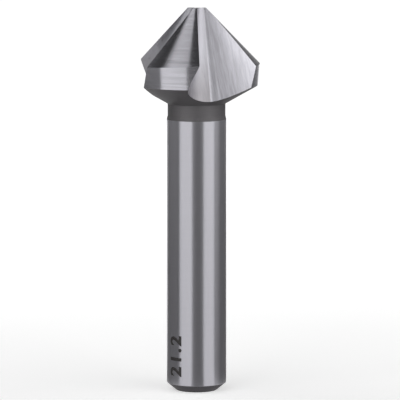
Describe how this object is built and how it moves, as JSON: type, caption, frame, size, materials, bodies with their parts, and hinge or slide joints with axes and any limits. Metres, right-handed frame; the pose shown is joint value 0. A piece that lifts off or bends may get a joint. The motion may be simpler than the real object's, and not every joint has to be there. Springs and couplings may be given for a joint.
{
  "type": "countersink bit",
  "caption": "Fluted cone-headed countersink bit with a plain round shank, for cutting a conical seat round a drilled hole.",
  "frame": {"origin": "centre of the flat face at the shank's end", "axes": "+Z along the axis of rotation from the shank's end to the cutting tip, -Y towards the land whose cutting corner faces the front"},
  "size_m": [0.02, 0.021, 0.0643],
  "materials": {
    "ground_steel": "ground and turned bare tool steel"
  },
  "bodies": {
    "root": {"countersink_bit": "ground_steel"}
  },
  "joints": []
}
